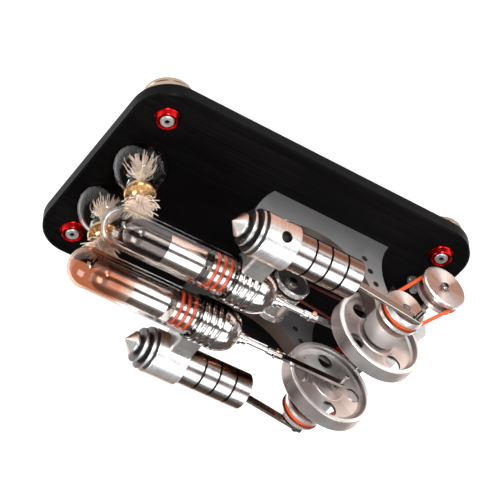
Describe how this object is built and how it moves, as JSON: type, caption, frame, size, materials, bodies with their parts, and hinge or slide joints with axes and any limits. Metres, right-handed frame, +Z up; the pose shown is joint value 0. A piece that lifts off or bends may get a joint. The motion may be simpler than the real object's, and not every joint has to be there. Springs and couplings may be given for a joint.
{
  "type": "stirling engine model",
  "caption": "Twin-cylinder hot-air engine model with glass hot tubes, alcohol lamps, flywheels and a belt-driven generator on a base plate.",
  "frame": {"origin": "under the middle of the base plate, on the surface that the feet stand on", "axes": "+Z up; +X runs along the base from the lamps to the flywheels; +Y across the base, towards engine a"},
  "size_m": [0.2, 0.122, 0.0974],
  "materials": {
    "black_deck": "black anodised, satin, with a fine brushed grain",
    "bronze": "turned, satin bronze tone",
    "dark_pad": "matte",
    "red_anodised": "red anodised, satin",
    "screw_steel": "bright",
    "lamp_glass": "clear blown glass",
    "cotton": "loose cotton strands",
    "brass": "polished",
    "polished_aluminium": "polished",
    "bearing_steel": "ground bright",
    "tube_glass": "clear heat-proof glass",
    "red_seal": "satin red-orange rubber",
    "mirror_steel": "mirror-polished steel",
    "piston_graphite": "dark graphite",
    "bar_steel": "rolled flat bar",
    "copper_screw": "copper-coloured, bright",
    "orange_belt": "orange elastic cord",
    "motor_shell": "plated",
    "clear_lens": "clear moulded lens"
  },
  "bodies": {
    "frame": {"base_plate": "black_deck", "feet": "bronze", "foot_pads": "dark_pad", "foot_washers": "red_anodised", "foot_screws": "screw_steel", "frame_screws": "screw_steel", "lamp_glass_a": "lamp_glass", "lamp_glass_b": "lamp_glass", "lamp_wick_a": "cotton", "lamp_wick_b": "cotton", "lamp_collars": "brass", "upright_a": "polished_aluminium", "upright_b": "polished_aluminium", "crank_bearings": "bearing_steel", "hot_cap_a": "tube_glass", "hot_cap_b": "tube_glass", "cooler_a": "polished_aluminium", "cooler_b": "polished_aluminium", "o_rings": "red_seal", "transfer_blocks": "polished_aluminium", "cylinder_head_a": "mirror_steel", "cylinder_head_b": "mirror_steel", "barrel_a": "mirror_steel", "barrel_b": "mirror_steel", "belt_a": "orange_belt", "belt_b": "orange_belt", "pedestals": "polished_aluminium", "generator_can": "motor_shell", "generator_bracket": "polished_aluminium", "generator_belt": "orange_belt", "led_lens": "clear_lens"},
    "crank_a": {"crankshaft_a": "bearing_steel", "flywheel_a": "mirror_steel", "crank_pulley_a": "mirror_steel"},
    "power_piston_a": {"piston_a": "piston_graphite", "wrist_pin_a": "screw_steel"},
    "power_rod_a": {"con_rod_a": "bar_steel", "crank_pin_a": "screw_steel"},
    "displacer_a": {"displacer_can_a": "mirror_steel", "displacer_cap_a": "polished_aluminium", "displacer_rod_a": "bearing_steel", "clevis_screw_a": "copper_screw"},
    "displacer_link_a": {"link_a": "bar_steel"},
    "crank_b": {"crankshaft_b": "bearing_steel", "flywheel_b": "mirror_steel", "crank_pulley_b": "mirror_steel"},
    "power_piston_b": {"piston_b": "piston_graphite", "wrist_pin_b": "screw_steel"},
    "power_rod_b": {"con_rod_b": "bar_steel", "crank_pin_b": "screw_steel"},
    "displacer_b": {"displacer_can_b": "mirror_steel", "displacer_cap_b": "polished_aluminium", "displacer_rod_b": "bearing_steel", "clevis_screw_b": "copper_screw"},
    "displacer_link_b": {"link_b": "bar_steel"},
    "layshaft": {"layshaft": "bearing_steel", "drive_pulleys": "mirror_steel", "middle_pulley": "mirror_steel"},
    "generator_rotor": {"generator_shaft": "bearing_steel", "generator_pulley": "mirror_steel"}
  },
  "joints": [
    {"name": "crank_a_spin", "type": "hinge", "parent": "frame", "child": "crank_a", "pos_m": [0.0555, 0.03, 0.0725], "axis": [0, 1, 0], "continuous": true},
    {"name": "piston_a_stroke", "type": "slide", "parent": "frame", "child": "power_piston_a", "axis": [1, 0, 0], "range_m": [-0.01214, 0.00384]},
    {"name": "power_rod_a_swing", "type": "hinge", "parent": "power_piston_a", "child": "power_rod_a", "pos_m": [0.01015, 0.048, 0.0725], "axis": [0, 1, 0], "range_deg": [-1.02, 17.58]},
    {"name": "displacer_a_stroke", "type": "slide", "parent": "frame", "child": "displacer_a", "axis": [1, 0, 0], "range_m": [-0.00952, 0.00048]},
    {"name": "displacer_link_a_swing", "type": "hinge", "parent": "displacer_a", "child": "displacer_link_a", "pos_m": [0.02052, 0.0158, 0.0725], "axis": [0, 1, 0], "range_deg": [-10.57, 3.98]},
    {"name": "crank_b_spin", "type": "hinge", "parent": "frame", "child": "crank_b", "pos_m": [0.0555, -0.03, 0.0725], "axis": [0, 1, 0], "continuous": true},
    {"name": "piston_b_stroke", "type": "slide", "parent": "frame", "child": "power_piston_b", "axis": [1, 0, 0], "range_m": [-0.00864, 0.00734]},
    {"name": "power_rod_b_swing", "type": "hinge", "parent": "power_piston_b", "child": "power_rod_b", "pos_m": [0.00665, -0.048, 0.0725], "axis": [0, 1, 0], "range_deg": [0, 18.6]},
    {"name": "displacer_b_stroke", "type": "slide", "parent": "frame", "child": "displacer_b", "axis": [1, 0, 0], "range_m": [-0.01, 0]},
    {"name": "displacer_link_b_swing", "type": "hinge", "parent": "displacer_b", "child": "displacer_link_b", "pos_m": [0.021, -0.0158, 0.0725], "axis": [0, 1, 0], "range_deg": [-7.27, 7.27]},
    {"name": "layshaft_spin", "type": "hinge", "parent": "frame", "child": "layshaft", "pos_m": [0.0823, 0, 0.043], "axis": [0, 1, 0], "continuous": true},
    {"name": "generator_spin", "type": "hinge", "parent": "frame", "child": "generator_rotor", "pos_m": [0.0185, 0, 0.039], "axis": [0, 1, 0], "continuous": true}
  ],
  "couplings": [
    {"joint": "crank_b_spin", "follows": "crank_a_spin", "ratio": 1},
    {"joint": "layshaft_spin", "follows": "crank_a_spin", "ratio": 0.8904},
    {"joint": "generator_spin", "follows": "crank_a_spin", "ratio": 1.3992}
  ]
}
